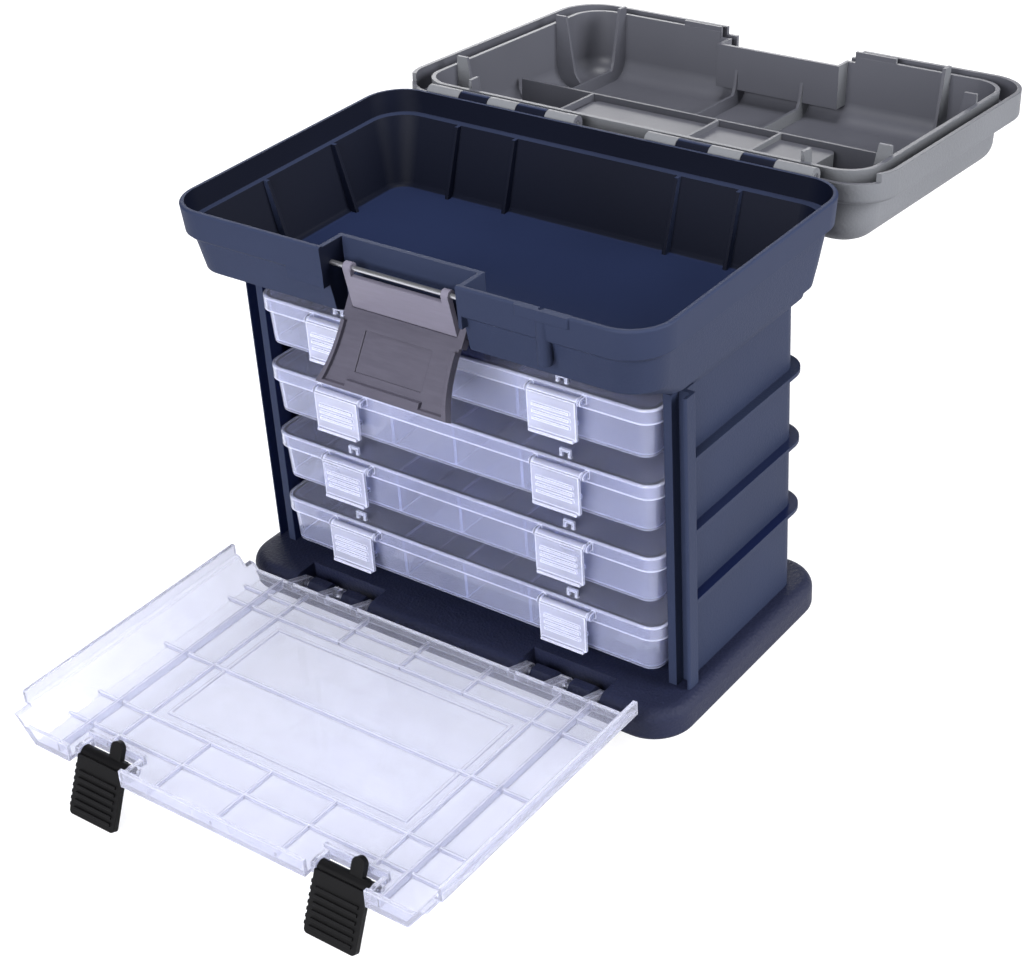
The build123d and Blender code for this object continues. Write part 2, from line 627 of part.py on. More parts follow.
def latch_link():
    """Short link between the bin and the flap; its upper rod is bare between two end eyes."""
    r = LATCH_BARREL_R
    low = LINK_Z - LINK_LENGTH
    body = rod_x(-LINK_HALF, LINK_HALF, LINK_Y, LINK_Z, r) + rod_x(-LINK_HALF, LINK_HALF, LINK_Y, low, r)
    body += box(-LINK_HALF, LINK_HALF, LINK_Y - r, LINK_Y - 0.4, low, LINK_Z)
    for s in (-1, 1):
        x = s * (LINK_HALF - 1.2)
        body += box(x - 1.2, x + 1.2, LINK_Y - 1.5, LINK_Y + 0.3, low, LINK_Z)
    bare = LINK_HALF - 4.0
    body -= box(-bare, bare, LINK_Y - 5, LINK_Y + 5, LINK_Z - 3.2, LINK_Z + 5)
    for z in (LINK_Z, low):
        body -= rod_x(-LINK_HALF - 1, LINK_HALF + 1, LINK_Y, z, LATCH_PIN_R + RUN_CLEAR)
    return turned(body, LINK_Y, LINK_Z, LINK_TILT)


def flap_pivot():
    """Where the lower barrel of the hanging link ends up."""
    tip = Pos(0, LINK_Y, LINK_Z) * Rot(LINK_TILT, 0, 0) * Pos(0, 0, -LINK_LENGTH)
    return tip.position.Y, tip.position.Z


def flap_outline(edge, margin):
    """Outline of the flap in X and Z at one depth: its sides curve outwards to the bottom corners."""
    z = flap_pivot()[1]
    top, bottom = z - 1.0 + margin, z - FLAP_LENGTH - margin
    right = []
    for step, half in enumerate(FLAP_HALVES):
        right.append((half - edge, top + (bottom - top) * step / (len(FLAP_HALVES) - 1)))
    return right + [(-half, height) for half, height in reversed(right)]


def flap_layer(edge, margin, y0, y1):
    """Layer of the flap between two depths."""
    corners = [(half, y0, height) for half, height in flap_outline(edge, margin)]
    return extrude(make_face(Polyline(*corners, close=True)), y1 - y0, dir=(0, 1, 0))


def latch_flap():
    """Broad pull flap: a dished front with a sunk panel, raised side rims, a bottom lip and two hooks."""
    y, z = flap_pivot()
    out, back = y - 2.6, y - 0.5
    top, bottom = z - 1.0, z - FLAP_LENGTH
    body = flap_layer(0, 0, out - FLAP_RIM, back) - flap_layer(1.9, 2, out - FLAP_RIM - 1, out)
    body -= box(-40, 40, out - 8, out, z - 8, z + 2)
    body -= box(-19, 19, out - 0.1, out + 0.7, bottom + 9, top - 9)
    edge = out - FLAP_RIM
    lip = ((edge, bottom), (edge, bottom + 1.6), (out, bottom + 2.4), (back, bottom + 2.4), (back, bottom))
    body += profile_x(lip, -36.4, 36.4)
    grip = ((edge, bottom), (edge, bottom + 4.4), (out, bottom + 5.2), (back, bottom))
    body += profile_x(grip, -21.0, 21.0)
    for s in (-1, 1):
        a, b = s * 30.0, s * 33.6
        lo, hi = min(a, b), max(a, b)
        stem = box(lo, hi, y - 2.6, y + 1.8, z - 6, z + 6.0)
        hook = box(lo, hi, y - 2.6, y + 3.5, z + 3.7, z + 6.0)
        body += stem + hook
    body -= rod_x(-40, 40, y, z, LATCH_PIN_R)
    body -= rod_x(-LINK_HALF - 0.3, LINK_HALF + 0.3, y, z, LATCH_BARREL_R + 0.35)
    return turned(body, y, z, FLAP_TILT)


def latch_link_pin():
    """Rod that the link hangs on, held in the cheeks of the notch."""
    half = NOTCH_HALF + 1.6
    return rod_x(-half, half, LINK_Y, LINK_Z, LATCH_PIN_R)


def latch_flap_pin():
    """Rod between the link and the flap."""
    y, z = flap_pivot()
    return rod_x(-33.6, 33.6, y, z, LATCH_PIN_R)


# Front cover


def cover_section(half, lift):
    """Dish section of the cover in X and Z, drawn from the hinge side to the free edge."""
    z0 = COVER_UNDER
    outer = [
        (-half, z0),
        (half, z0),
        (121.0, 38.5),
        (123.8, 39.5),
        (123.8, lift),
        (121.6, lift),
        (121.6, 41.2),
        (119.4, 40.4),
        (half - 1.2, z0 + COVER_T),
    ]
    points = outer + [(-x, z) for x, z in reversed(outer[2:])]
    return points


def front_cover():
    """Clear dish-shaped cover with lips for the post grooves, hinge ears and latch ears."""
    points = cover_section(COVER_HALF, 46.5)
    face = make_face(Polyline(*[(x, COVER_END, z) for x, z in points], close=True))
    body = extrude(face, COVER_START - COVER_END, dir=(0, 1, 0))
    body -= box(-130, 130, COVER_END - 1, COVER_END + 8.5, 39.0, 50)
    body -= box(-130, 130, COVER_START - 5.5, COVER_START + 1, 35.0, 50)
    for y0, half, top in ((COVER_END, 118.0, 34.5), (COVER_START - 2.2, 115.6, 31.5)):
        end = ((-COVER_HALF, COVER_UNDER), (COVER_HALF, COVER_UNDER), (half, top), (-half, top))
        wall = make_face(Polyline(*[(x, y0, z) for x, z in end], close=True))
        body += extrude(wall, 2.2, dir=(0, 1, 0))
    top = COVER_UNDER + COVER_T - 0.2
    low = 30.2
    ribs = []
    for x in (-78.0, 78.0):
        ribs.append(box(x - 0.7, x + 0.7, COVER_END + 1, COVER_START - 1, top, low))
    for y in (-93.0, -105.0, -151.0, -196.0, -215.0):
        ribs.append(box(-COVER_HALF, COVER_HALF, y - 0.7, y + 0.7, top, low))
    for x in (-38.0, 0.0, 38.0):
        ribs.append(box(x - 0.6, x + 0.6, -105, COVER_START - 1, top, low))
        ribs.append(box(x - 0.6, x + 0.6, COVER_END + 1, -196, top, low))
    for x in (-95.0, 95.0):
        ribs.append(box(x - 0.6, x + 0.6, COVER_END + 1, COVER_START - 1, top, 32.5))
    for rib in ribs:
        body += rib
    frame = box(-72, 72, -190, -111, top, 28.9) - box(-70.4, 70.4, -188.4, -112.6, top - 1, 30)
    body += frame
    for centre in (-COVER_HINGE_X, COVER_HINGE_X):
        for a, b in COVER_EARS:
            x0, x1 = centre + a, centre + b
            ear = rod_x(x0, x1, COVER_Y, COVER_Z, EAR_R)
            ear += profile_x(
                ((-81, COVER_UNDER), (COVER_Y, COVER_Z - 1.4), (COVER_Y, COVER_Z + 4), (-81, 32.0)), x0, x1
            )
            body += ear
        body -= rod_x(centre - 30, centre + 30, COVER_Y, COVER_Z, COVER_PIN_R + RUN_CLEAR)
    for centre in (-COVER_LATCH_X, COVER_LATCH_X):
        x0, x1 = centre - COVER_NOTCH_HALF, centre + COVER_NOTCH_HALF
        body -= box(x0, x1, COVER_END - 1, -222.0, COVER_UNDER - 1, 40)
        body += box(x0 - 1, x1 + 1, -223.4, -221.6, COVER_UNDER, 33.0)
        for s in (-1, 1):
            edge = centre + s * COVER_NOTCH_HALF
            a, b = edge - s * 1.9, edge + s * 0.6
            lo, hi = min(a, b), max(a, b)
            body += rod_x(lo, hi, COVER_LATCH_Y, COVER_LATCH_Z, 4.2)
            body += box(lo, hi, COVER_LATCH_Y - 3.5, -222.5, COVER_UNDER, COVER_UNDER + 5)
        body -= rod_x(x0 - 2, x1 + 2, COVER_LATCH_Y, COVER_LATCH_Z, LATCH_PIN_R)
    return body


def cover_latch(centre):
    """Black cam lever: barrel, ribbed pull plate and an arm that grips behind the bin's skirt."""
    y, z = COVER_LATCH_Y, COVER_LATCH_Z
    x0, x1 = centre - COVER_LATCH_HALF, centre + COVER_LATCH_HALF
    body = rod_x(x0, x1, y, z, 3.5)
    plate = box(x0, x1, y, y + 29.3, z - 5.0, z - 2.0)
    plate = fillet(plate.edges().filter_by(Axis.Z).group_by(Axis.Y)[-1], 2.0)
    body += plate
    for i in range(6):
        a = y + 7.0 + i * 3.6
        body += box(x0 + 2.5, x1 - 2.5, a, a + 1.5, z - 5.8, z - 4.8)
    arm = centre + 5.0
    body += box(arm - 3.5, arm + 3.5, y - 8.5, y, z - 1.5, z + 1.5)
    body += rod_z(arm, y - 8.5, z - 1.5, z + 1.5, 3.5)
    body += box(arm + 3.0, arm + 6.0, y - 3.5, y, z - 1.5, z + 1.5)
    for i in range(7):
        a = y + 5.0 + i * 3.2
        body += box(x0 - 0.7, x0 + 1, a, a + 1.6, z - 4.8, z - 2.2)
    body -= rod_x(x0 - 1, x1 + 1, y, z, LATCH_PIN_R + RUN_CLEAR)
    return turned(body, y, z, -LEVER_TILT)


def cover_latch_pin(centre):
    """Rod of one cover latch, held in the cover's ears."""
    half = COVER_NOTCH_HALF + 0.6
    return rod_x(centre - half, centre + half, COVER_LATCH_Y, COVER_LATCH_Z, LATCH_PIN_R)


# Write every piece

save(base_plinth(), "base_plinth")
save(base_screws(), "base_screws")
save(base_plate(), "base_plate")
save(cover_hinge_pin(-COVER_HINGE_X), "cover_hinge_pin_left")
save(cover_hinge_pin(COVER_HINGE_X), "cover_hinge_pin_right")
right_wall = side_wall()
save(right_wall, "side_wall_right")
save(flip(right_wall), "side_wall_left")
save(back_wall(), "back_wall")
right_runners = tray_runners()
save(right_runners, "tray_runners_right")
save(flip(right_runners), "tray_runners_left")
for number in range(1, TRAYS + 1):
    height = TRAY_TOP - (number - 1) * TRAY_PITCH
    save(tray_body(height), f"tray_{number}_body")
    save(tray_lid(height), f"tray_{number}_lid")
    save(tray_hinge_pins(height), f"tray_{number}_hinge_pins")
    save(tray_dividers(height), f"tray_{number}_dividers")
    save(tray_latch(height, -TRAY_LATCH_X), f"tray_{number}_latch_left")
    save(tray_latch(height, TRAY_LATCH_X), f"tray_{number}_latch_right")
save(top_bin(), "top_bin")
right_rod = lid_hinge_pin()
save(right_rod, "lid_hinge_pin_right")
save(flip(right_rod), "lid_hinge_pin_left")
save(opened(lid_closed()), "lid")
save(opened(handle_closed()), "carry_handle")
save(opened(handle_pins_closed()), "handle_pins")
save(latch_link(), "latch_link")
save(latch_flap(), "latch_flap")
save(latch_link_pin(), "latch_link_pin")
save(latch_flap_pin(), "latch_flap_pin")
save(front_cover(), "front_cover")
save(cover_latch(-COVER_LATCH_X), "cover_latch_left")
save(cover_latch(COVER_LATCH_X), "cover_latch_right")
save(cover_latch_pin(-COVER_LATCH_X), "cover_latch_pin_left")
save(cover_latch_pin(COVER_LATCH_X), "cover_latch_pin_right")
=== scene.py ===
# %% [markdown]
# # A tackle box with clear trays
# This lesson dresses a fishing tackle box: a navy rack with four clear trays, an open navy bin on top,
# a grey lid thrown back, a grey draw latch hanging in front and a clear cover let down on the ground.
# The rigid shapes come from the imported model, which is loaded here as a fixed frame in metres.

import bpy
import numpy as np
from mathutils import Matrix

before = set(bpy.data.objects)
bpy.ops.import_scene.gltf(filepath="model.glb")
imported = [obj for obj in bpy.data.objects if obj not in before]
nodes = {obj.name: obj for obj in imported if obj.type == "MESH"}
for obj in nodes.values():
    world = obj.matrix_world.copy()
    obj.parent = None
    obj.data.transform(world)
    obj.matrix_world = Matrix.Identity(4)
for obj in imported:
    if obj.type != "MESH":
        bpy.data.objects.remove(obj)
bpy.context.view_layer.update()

# %% [markdown]
# ## Colours
# Colours are easiest to read off as hex values, the way a paint program shows them. Cycles works in
# linear light, so every hex value passes through one function that undoes the sRGB curve.

# %% Hex colour to linear light


def linear(code):
    """Linear RGBA of an sRGB hex colour: c / 12.92 up to 0.04045, above it ((c + 0.055) / 1.055) ** 2.4."""
    c = np.array([int(code[i : i + 2], 16) for i in (1, 3, 5)]) / 255
    low = c / 12.92
    high = ((c + 0.055) / 1.055) ** 2.4
    return (*np.where(c <= 0.04045, low, high).tolist(), 1.0)


print("navy", [round(v, 3) for v in linear("#282f45")])

# %% [markdown]
# ## Building materials from nodes
# A material is a small graph. One helper adds a node, sets its inputs and links them: a pair of a node
# and an output name is a link, anything else is a plain value.

# %% Add a node


def add(tree, kind, inputs=None, **settings):
    """A node of that kind with its settings; each input is linked from (node, output) or set to a value."""
    node = tree.nodes.new(kind)
    for name, value in settings.items():
        setattr(node, name, value)
    for name, value in (inputs or {}).items():
        if isinstance(value, tuple) and len(value) == 2 and isinstance(value[0], bpy.types.Node):
            tree.links.new(value[0].outputs[value[1]], node.inputs[name])
        else:
            node.inputs[name].default_value = value
    return node


def new_material(name):
    """An empty material with its output node, and the tree that holds it."""
    material = bpy.data.materials.new(name)
    material.use_nodes = True
    material.node_tree.nodes.clear()
    return material, material.node_tree


def dress(material, *names):
    """Give CAD nodes this material in place of the plain one they came with."""
    for name in names:
        nodes[name].data.materials.clear()
        nodes[name].data.materials.append(material)


# %% [markdown]
# ## Injection-moulded polypropylene
# The rack, the bin and the lid are polypropylene shot into steel moulds. The outside of the mould is
# spark-eroded, which leaves a leathery pebble grain that scatters the light. The inside of the mould
# is only milled and stoned, so inner faces are smoother. One material can do both: the mask below is
# the sign of the surface normal against the direction away from the middle of the piece, positive on
# the outside and negative inside.
#
# The grain itself is a Voronoi pattern, whose cells are about a millimetre wide as on the real thing,
# mixed with noise of 0.4 mm. It is multiplied by the mask, and by a second mask that fades it out
# above a height, where a rim band is polished.

# %% Pebble grain
FINE_PER_METRE = 2600.0
GRAIN_LEFT = 0.12


def pebble_grain(tree, where, mask, grain_mm, smooth_above):
    """Height of the grain: (0.55 cells + 0.45 noise) * outside mask * fade above a height in metres."""
    cells = add(tree, "ShaderNodeTexVoronoi", {"Vector": (where, "Object"), "Scale": 1000 / grain_mm})
    speckle = {"Vector": (where, "Object"), "Scale": FINE_PER_METRE, "Detail": 2.0}
    fine = add(tree, "ShaderNodeTexNoise", speckle)
    mixed = {0: 0.45, 2: (cells, "Distance"), 3: (fine, "Fac")}
    height = add(tree, "ShaderNodeMix", mixed, data_type="FLOAT")
    split = add(tree, "ShaderNodeSeparateXYZ", {0: (where, "Object")})
    fade = {0: (split, "Z"), 1: smooth_above, 2: smooth_above + 0.0005, 3: 1.0, 4: GRAIN_LEFT}
    below = add(tree, "ShaderNodeMapRange", fade)
    grained = add(tree, "ShaderNodeMath", {0: (mask, 0), 1: (below, 0)}, operation="MULTIPLY")
    return add(tree, "ShaderNodeMath", {0: (height, 0), 1: (grained, 0)}, operation="MULTIPLY")


print("fine noise every", round(1000 / FINE_PER_METRE, 2), "mm")

# %% [markdown]
# The same mask picks the colour. Inner faces get a darker copy of the outer colour, which is painted shade,
# and inner faces that point straight up may get a lighter third colour: painted light from above on the
# bin's floor.

# %% Colour by side, with painted shade inside and painted light on the floor


def colour_with_painted_shade(tree, where, mask, outside, inside, floor):
    """The outer colour, a darker inner one as painted shade, and a lighter painted-light colour on inner
    faces that point up.
    """
    facing = add(tree, "ShaderNodeSeparateXYZ", {0: (where, "Normal")})
    level = add(tree, "ShaderNodeMapRange", {0: (facing, "Z"), 1: 0.9, 2: 0.99})
    shade_and_floor_light = {0: (level, 0), 6: linear(inside), 7: linear(floor)}
    inner = add(tree, "ShaderNodeMix", shade_and_floor_light, data_type="RGBA")
    both = {0: (mask, 0), 6: (inner, 2), 7: linear(outside)}
    return add(tree, "ShaderNodeMix", both, data_type="RGBA")


# %% [markdown]
# Edges of moulded plastic are never knife sharp, so a Bevel node rounds the shading by a few tenths of
# a millimetre. The melt flows in broad streams, which show as slow changes of tone and gloss.

# %% Moulded plastic, grained outside and satin inside
POLYPROPYLENE_IOR = 1.49
NO_LIMIT = 9.0
GRAIN_HEIGHT = 0.0004
ROUGH_OUTSIDE = 0.52
ROUGH_SPREAD = 0.10
STREAMS_PER_METRE = 9.0


def moulded(
    name,
    middle,
    outside,
    inside,
    floor=None,
    grain_mm=1.1,
    depth=0.35,
    rough_in=0.34,
    edge_mm=0.5,
    smooth_above=NO_LIMIT,
    shine=0.25,
):
    """Polypropylene with a pebble grain outside and a satin inside, darker there as painted shade, seen from
    the piece's middle.
    """
    material, tree = new_material(name)
    where = add(tree, "ShaderNodeTexCoord")
    away = add(tree, "ShaderNodeVectorMath", {0: (where, "Object"), 1: middle}, operation="SUBTRACT")
    sides = {0: (where, "Normal"), 1: (away, "Vector")}
    side = add(tree, "ShaderNodeVectorMath", sides, operation="DOT_PRODUCT")
    mask = add(tree, "ShaderNodeMapRange", {0: (side, "Value"), 1: 0.0, 2: 0.012})
    grain = pebble_grain(tree, where, mask, grain_mm, smooth_above)
    rounded = add(tree, "ShaderNodeBevel", {"Radius": edge_mm / 1000}, samples=4)
    relief = {"Strength": depth, "Distance": GRAIN_HEIGHT, "Height": (grain, 0)}
    bump = add(tree, "ShaderNodeBump", {**relief, "Normal": (rounded, "Normal")})
    streams = {"Vector": (where, "Object"), "Scale": STREAMS_PER_METRE, "Detail": 3.0}
    flow = add(tree, "ShaderNodeTexNoise", streams)
    tint = add(tree, "ShaderNodeMapRange", {0: (flow, "Fac"), 1: 0.3, 2: 0.7, 3: 0.9, 4: 1.1})
    colour = colour_with_painted_shade(tree, where, mask, outside, inside, floor or inside)
    shade = add(tree, "ShaderNodeHueSaturation", {"Value": (tint, 0), "Color": (colour, 2)})
    rough = add(tree, "ShaderNodeMapRange", {0: (mask, 0), 3: rough_in, 4: ROUGH_OUTSIDE})
    uneven = {0: (flow, "Fac"), 1: ROUGH_SPREAD, 2: (rough, 0)}
    smear = add(tree, "ShaderNodeMath", uneven, operation="MULTIPLY_ADD")
    finish = {"Roughness": (smear, 0), "IOR": POLYPROPYLENE_IOR, "Specular IOR Level": shine}
    look = {"Base Color": (shade, "Color"), "Normal": (bump, "Normal"), **finish}
    skin = add(tree, "ShaderNodeBsdfPrincipled", look)
    add(tree, "ShaderNodeOutputMaterial", {"Surface": (skin, "BSDF")})
    print(name, "grain", grain_mm, "mm")
    return material


# %% [markdown]
# Each moulding gets its own middle: the open lid's lies behind the box. The band round the bin's rim is
# nearly smooth, so the grain fades out above its lower edge. The base has the coarsest grain.

# %% Navy and grey polypropylene
BIN_MIDDLE = (0.0, 0.0, 0.205)
RACK_MIDDLE = (0.0, 0.0, 0.11)
BASE_MIDDLE = (0.0, 0.0, 0.0)
LID_MIDDLE = (0.0, 0.18, 0.235)
BAND_HEIGHT = 0.2185
NAVY = "#282f45"
NAVY_NAME = "moulded navy polypropylene"

# The inner colours below are darker copies of the outer ones: painted shade on inner faces. The bin's
# lighter floor colour is painted light from above on its upward inner faces.
navy_bin = moulded(
    NAVY_NAME,
    BIN_MIDDLE,
    NAVY,
    "#070b1a",
    floor="#1b2440",
    rough_in=0.5,
    smooth_above=BAND_HEIGHT,
    shine=0.1,
)
navy_rack = moulded(NAVY_NAME + ", rack", RACK_MIDDLE, NAVY, "#141c3c", edge_mm=0.4, shine=0.1)
navy_base = moulded(
    NAVY_NAME + ", base",
    BASE_MIDDLE,
    "#1a1e34",
    "#12162a",
    grain_mm=1.6,
    depth=1.0,
    shine=0.2,
)
grey_lid = moulded("moulded grey polypropylene", LID_MIDDLE, "#65676c", "#4d4e56", grain_mm=1.3)
dress(navy_bin, "top_bin")
dress(navy_rack, "side_wall_left", "side_wall_right", "back_wall", "tray_runners_left", "tray_runners_right")
dress(navy_base, "base_plate", "base_plinth")
dress(grey_lid, "lid")

# %% [markdown]
# ## Clear polypropylene copolymer
# The trays and the cover are clarified polypropylene. It is not as clear as glass: a little of the
# light is scattered in the wall, which turns it milky and pale blue where several walls lie behind
# each other. The wall thickness is real, so the shader only needs the right index and some haze: a
# share of the light is scattered by a white layer, partly back and partly through, and the rest
# passes as through glass.
#
# Rims and ribs look brighter than flat walls, because light that is caught inside the sheet leaves it at
# its edges. That light is painted in as a highlight: a Bevel node bends the normal close to an edge, so the
# angle between the bent normal and the flat one says how near an edge is, and there the share of white
# scattering goes up.

# %% Painted highlights on edges
EDGE_WIDTH = 0.0012


def painted_edge_highlight(tree, edge_highlight_share):
    """Painted highlight: zero on a flat wall, up to the given share at an edge, by how far a Bevel node
    turns the normal.
    """
    flat = add(tree, "ShaderNodeNewGeometry")
    bent = add(tree, "ShaderNodeBevel", {"Radius": EDGE_WIDTH}, samples=4)
    normals = {0: (flat, "True Normal"), 1: (bent, "Normal")}
    along = add(tree, "ShaderNodeVectorMath", normals, operation="DOT_PRODUCT")
    return add(tree, "ShaderNodeMapRange", {0: (along, "Value"), 1: 0.995, 2: 0.9, 3: 0.0, 4: edge_highlight_share})


print("edges shine over", EDGE_WIDTH * 1000, "mm")

# %% [markdown]
# The haze isn't even: it follows the streams of the melt, about 70 mm wide. The faint bump is the
# waviness of a moulded sheet, about 17 mm from crest to crest.

# %% Clear plastic with haze
CLOUDS_PER_METRE = 14.0
WAVES_PER_METRE = 60.0
WAVE_HEIGHT = 0.0006


def clear_plastic(name, haze, milk_colour, edge_highlight_share=0.5, roughness=0.06, passed=0.3, glass="#e6eaff"):
    """Clear plastic with a share of white scattering, which follows the melt's flow and grows at edges as a
    painted highlight.
    """
    material, tree = new_material(name)
    where = add(tree, "ShaderNodeTexCoord")
    streams = {"Vector": (where, "Object"), "Scale": CLOUDS_PER_METRE, "Detail": 3.0, "Roughness": 0.6}
    flow = add(tree, "ShaderNodeTexNoise", streams)
    cloud = add(tree, "ShaderNodeMapRange", {0: (flow, "Fac"), 1: 0.3, 2: 0.7, 3: haze * 0.7, 4: haze * 1.3})
    edge = painted_edge_highlight(tree, edge_highlight_share)
    share = add(tree, "ShaderNodeMath", {0: (cloud, 0), 1: (edge, 0)}, operation="ADD", use_clamp=True)
    ripples = {"Vector": (where, "Object"), "Scale": WAVES_PER_METRE, "Detail": 1.0}
    wave = add(tree, "ShaderNodeTexNoise", ripples)
    relief = {"Strength": 0.012, "Distance": WAVE_HEIGHT, "Height": (wave, "Fac")}
    bump = add(tree, "ShaderNodeBump", relief)
    surface = {"IOR": POLYPROPYLENE_IOR, "Normal": (bump, "Normal")}
    clear = {"Base Color": linear(glass), "Roughness": roughness, "Transmission Weight": 1.0, **surface}
    body = add(tree, "ShaderNodeBsdfPrincipled", clear)
    cloudy = {"Base Color": linear(milk_colour), "Roughness": 0.25, **surface}
    milk = add(tree, "ShaderNodeBsdfPrincipled", cloudy)
    diffuse = {"Color": linear(milk_colour), "Normal": (bump, "Normal")}
    through = add(tree, "ShaderNodeBsdfTranslucent", diffuse)
    scatter = add(tree, "ShaderNodeMixShader", {0: passed, 1: (milk, "BSDF"), 2: (through, "BSDF")})
    skin = add(tree, "ShaderNodeMixShader", {0: (share, 0), 1: (body, "BSDF"), 2: (scatter, "Shader")})
    add(tree, "ShaderNodeOutputMaterial", {"Surface": (skin, "Shader")})
    print(name, "haze", haze)
    return material


# %% [markdown]
# The trays, their lids and the dividers differ only in how much light they scatter. The small latches
# are thick for their size and milky. The cover is one large polished sheet: its painted edge highlight is
# weaker, and half of what it scatters goes through it.

# %% Trays and cover
CLEAR = "clarified polypropylene, "
tray_clear = clear_plastic(CLEAR + "trays", 0.2, "#d8deff", edge_highlight_share=0.9, passed=0.1)
tray_lid_clear = clear_plastic(CLEAR + "tray lids", 0.16, "#e2e6ff", edge_highlight_share=1.0, passed=0.1)
divider_clear = clear_plastic(CLEAR + "dividers", 0.26, "#d6ddff", edge_highlight_share=1.0, passed=0.1)
latch_clear = clear_plastic(CLEAR + "tray latches", 0.34, "#e4e7fc", edge_highlight_share=0.8, roughness=0.12, passed=0.1)
cover_clear = clear_plastic(
    CLEAR + "cover", 0.24, "#d2d4e4", edge_highlight_share=0.35, roughness=0.04, passed=0.5, glass="#ebedfa"
)
for number in range(1, 5):
    dress(tray_clear, f"tray_{number}_body")
    dress(divider_clear, f"tray_{number}_dividers")
    dress(tray_lid_clear, f"tray_{number}_lid")
    dress(latch_clear, f"tray_{number}_latch_left", f"tray_{number}_latch_right")
dress(cover_clear, "front_cover")

# %% [markdown]
# ## Latch plastics
# The draw latch is acetal, a hard plastic with a waxy sheen, moulded in two warm greys: a dark one for
# the flap and a lighter one for the link. The cover's two levers and the carry handle are the same
# plastic in black. Handling leaves fine scuffs, so the roughness is broken up by stretched noise, as
# fine scratches would do.

# %% Acetal
ACETAL_IOR = 1.48
SCUFF = 0.18
SCRATCH_DEPTH = 0.0002
EDGE_RADIUS = 0.0005


def acetal(name, colour, roughness, gloss):
    """Smooth hard plastic with scuffs that run along X."""
    material, tree = new_material(name)
    where = add(tree, "ShaderNodeTexCoord")
    along = add(tree, "ShaderNodeMapping", {"Vector": (where, "Object"), "Scale": (80.0, 600.0, 600.0)})
    lines = {"Vector": (along, "Vector"), "Scale": 1.0, "Detail": 5.0, "Roughness": 0.7}
    scratch = add(tree, "ShaderNodeTexNoise", lines)
    wear = {0: (scratch, "Fac"), 1: 0.35, 2: 0.75, 3: roughness, 4: roughness + SCUFF}
    worn = add(tree, "ShaderNodeMapRange", wear)
    tone = add(tree, "ShaderNodeMapRange", {0: (scratch, "Fac"), 1: 0.4, 2: 0.8, 3: 0.96, 4: 1.12})
    tinted = add(tree, "ShaderNodeHueSaturation", {"Value": (tone, 0), "Color": linear(colour)})
    rounded = add(tree, "ShaderNodeBevel", {"Radius": EDGE_RADIUS}, samples=4)
    relief = {"Strength": 0.08, "Distance": SCRATCH_DEPTH, "Height": (scratch, "Fac")}
    bump = add(tree, "ShaderNodeBump", {**relief, "Normal": (rounded, "Normal")})
    finish = {"Roughness": (worn, 0), "IOR": ACETAL_IOR, "Specular IOR Level": gloss}
    look = {"Base Color": (tinted, "Color"), "Normal": (bump, "Normal"), **finish}
    skin = add(tree, "ShaderNodeBsdfPrincipled", look)
    add(tree, "ShaderNodeOutputMaterial", {"Surface": (skin, "BSDF")})
    print(name, "roughness", roughness, "to", round(roughness + SCUFF, 2))
    return material


flap_grey = acetal("warm grey acetal, flap", "#474552", 0.36, 0.25)
link_grey = acetal("warm grey acetal, link", "#6b6877", 0.34, 0.3)
latch_black = acetal("black acetal", "#08080a", 0.42, 0.12)
dress(flap_grey, "latch_flap")
dress(link_grey, "latch_link")
dress(latch_black, "cover_latch_left", "cover_latch_right", "carry_handle")

# %% [markdown]
# ## Drawn steel wire
# The hinge rods are cut from drawn steel wire. Drawing pulls fine lines along the rod, so the
# roughness varies in thin streaks along X. The four screws get the same steel.

# %% Steel
STREAK_SCALE = (20.0, 4000.0, 4000.0)


def drawn_steel(name):
    """Metal whose roughness changes in streaks along X, the way the rods lie."""
    material, tree = new_material(name)
    where = add(tree, "ShaderNodeTexCoord")
    along = add(tree, "ShaderNodeMapping", {"Vector": (where, "Object"), "Scale": STREAK_SCALE})
    streak = add(tree, "ShaderNodeTexNoise", {"Vector": (along, "Vector"), "Scale": 1.0, "Detail": 3.0})
    rough = add(tree, "ShaderNodeMapRange", {0: (streak, "Fac"), 3: 0.22, 4: 0.42})
    look = {"Base Color": linear("#b9bac0"), "Metallic": 1.0, "Roughness": (rough, 0)}
    skin = add(tree, "ShaderNodeBsdfPrincipled", look)
    add(tree, "ShaderNodeOutputMaterial", {"Surface": (skin, "BSDF")})
    return material


steel = drawn_steel("drawn steel wire")
steel_pieces = [name for name in nodes if "pin" in name or "screws" in name]
dress(steel, *steel_pieces)
print("steel on", len(steel_pieces), "pieces")

# %% [markdown]
# ## Floor and light
# The box stands on a plain white sweep. The floor is pale paper that also glows a little, but only for
# rays that come from the camera, or through clear plastic, or off a glossy surface. So it reads as
# white, keeps the soft shadow and throws no extra light on the box.

# %% Floor
FLOOR_WIDTH = 12.0
FLOOR_GAP = 0.0003
PAPER_GLOW = 0.85


def paper_floor(size):
    """Flat square of four corners, `size` metres wide."""
    half = size / 2
    corners = np.array([(-half, -half, 0), (half, -half, 0), (half, half, 0), (-half, half, 0)], float)
    mesh = bpy.data.meshes.new("floor")
    mesh.from_pydata(corners.tolist(), [], [(0, 1, 2, 3)])
    piece = bpy.data.objects.new("floor", mesh)
    bpy.context.scene.collection.objects.link(piece)
    return piece


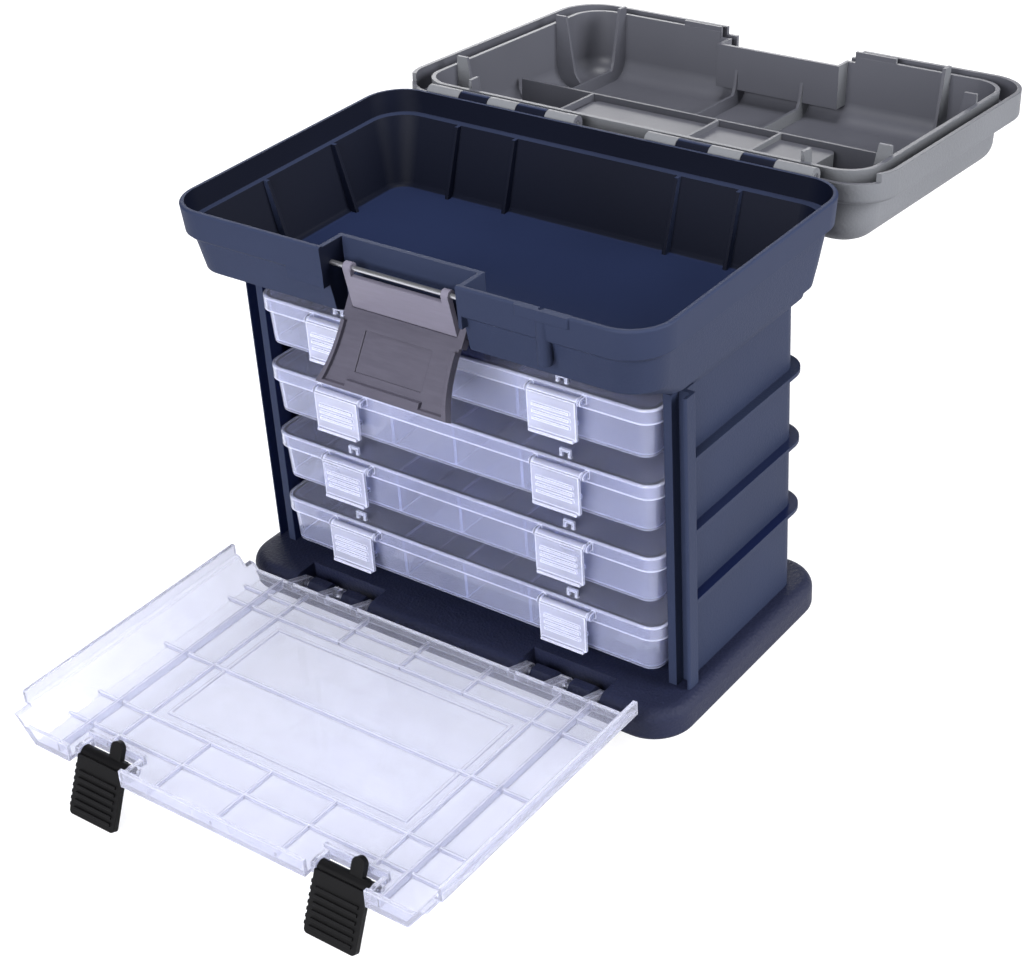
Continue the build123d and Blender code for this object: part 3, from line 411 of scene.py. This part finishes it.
floor = paper_floor(FLOOR_WIDTH)
floor.location.z = -FLOOR_GAP
material, tree = new_material("white paper sweep")
path = add(tree, "ShaderNodeLightPath")
paper = add(tree, "ShaderNodeBsdfDiffuse", {"Color": linear("#9c9ca0")})
straight = {0: (path, "Is Camera Ray"), 1: (path, "Is Transmission Ray")}
direct = add(tree, "ShaderNodeMath", straight, operation="MAXIMUM")
seen = add(tree, "ShaderNodeMath", {0: (direct, 0), 1: (path, "Is Glossy Ray")}, operation="MAXIMUM")
glow = add(tree, "ShaderNodeMath", {0: (seen, 0), 1: PAPER_GLOW}, operation="MULTIPLY")
lift = add(tree, "ShaderNodeEmission", {"Color": (1, 1, 1, 1), "Strength": (glow, 0)})
both = add(tree, "ShaderNodeAddShader", {0: (paper, "BSDF"), 1: (lift, "Emission")})
add(tree, "ShaderNodeOutputMaterial", {"Surface": (both, "Shader")})
floor.data.materials.append(material)
print("floor", FLOOR_WIDTH, "m wide")

# %% [markdown]
# Four large lamps make the soft studio light: the key stands in front, one fills the right-hand side,
# one hangs above, and a weak one behind draws the edges of the lid.

# %% Lamps


def softbox(name, place, target, width, height, watts):
    """Rectangular lamp at `place`, turned so that it shines from there towards `target`."""
    data = bpy.data.lights.new(name, "AREA")
    data.shape = "RECTANGLE"
    data.size, data.size_y, data.energy = width, height, watts
    lamp = bpy.data.objects.new(name, data)
    bpy.context.scene.collection.objects.link(lamp)
    back = np.array(place, float) - np.array(target, float)
    back /= np.linalg.norm(back)
    right = np.cross((0, 0, 1), back)
    right /= np.linalg.norm(right)
    turn = np.eye(4)
    turn[:3, 0], turn[:3, 1], turn[:3, 2], turn[:3, 3] = right, np.cross(back, right), back, place
    lamp.matrix_world = Matrix(turn.tolist())
    print(name, "lamp", watts, "W")


softbox("key", (0.15, -2.0, 0.95), (0.0, 0.0, 0.12), 1.6, 1.1, 74)
softbox("side", (1.8, 0.5, 0.9), (0.0, 0.0, 0.15), 1.0, 1.0, 58)
softbox("top", (0.0, 0.1, 2.2), (0.0, 0.05, 0.1), 0.9, 0.9, 36)
softbox("back", (-1.3, 1.6, 0.6), (0.0, 0.05, 0.15), 1.6, 0.8, 20)

# %% [markdown]
# Past the floor's edge lies the world. It is white for the camera and lights the box only weakly.

# %% White surroundings for the camera, a weak even light for everything else
AMBIENT = 0.1

world = bpy.data.worlds.new("studio")
bpy.context.scene.world = world
world.use_nodes = True
surroundings = world.node_tree
surroundings.nodes.clear()
ray = add(surroundings, "ShaderNodeLightPath")
level = add(surroundings, "ShaderNodeMapRange", {0: (ray, "Is Camera Ray"), 3: AMBIENT, 4: 1.0})
sky = add(surroundings, "ShaderNodeBackground", {"Color": (1, 1, 1, 1), "Strength": (level, 0)})
add(surroundings, "ShaderNodeOutputWorld", {"Surface": (sky, "Background")})
print("world strength", AMBIENT, "and 1.0 to the camera")

# %% [markdown]
# ## Camera
# The photograph's camera was worked out from the corners of the box: where it stands, which way it
# points and how long its lens is. The three rows are its right, down and forward directions.

# %% Camera from the solved view
LENS_PX = 2088.1
IMAGE_WIDTH = 1024
SENSOR_MM = 36.0
CAMERA_PLACE = (0.543893, -0.701103, 0.627772)
axes = np.array(
    [
        [0.806625, 0.588320, -0.056878],
        [0.272884, -0.456037, -0.847092],
        [-0.524300, 0.667765, -0.528394],
    ]
)
lens = bpy.data.cameras.new("photograph view")
lens.sensor_fit = "HORIZONTAL"
lens.sensor_width = SENSOR_MM
lens.lens = LENS_PX / IMAGE_WIDTH * SENSOR_MM
lens.clip_end = 50
camera = bpy.data.objects.new("photograph view", lens)
bpy.context.scene.collection.objects.link(camera)
pose = np.eye(4)
pose[:3, 0], pose[:3, 1], pose[:3, 2] = axes[0], -axes[1], -axes[2]
pose[:3, 3] = CAMERA_PLACE
camera.matrix_world = Matrix(pose.tolist())
bpy.context.scene.camera = camera
bpy.context.scene.view_settings.view_transform = "Standard"
print("lens", round(lens.lens, 2), "mm")
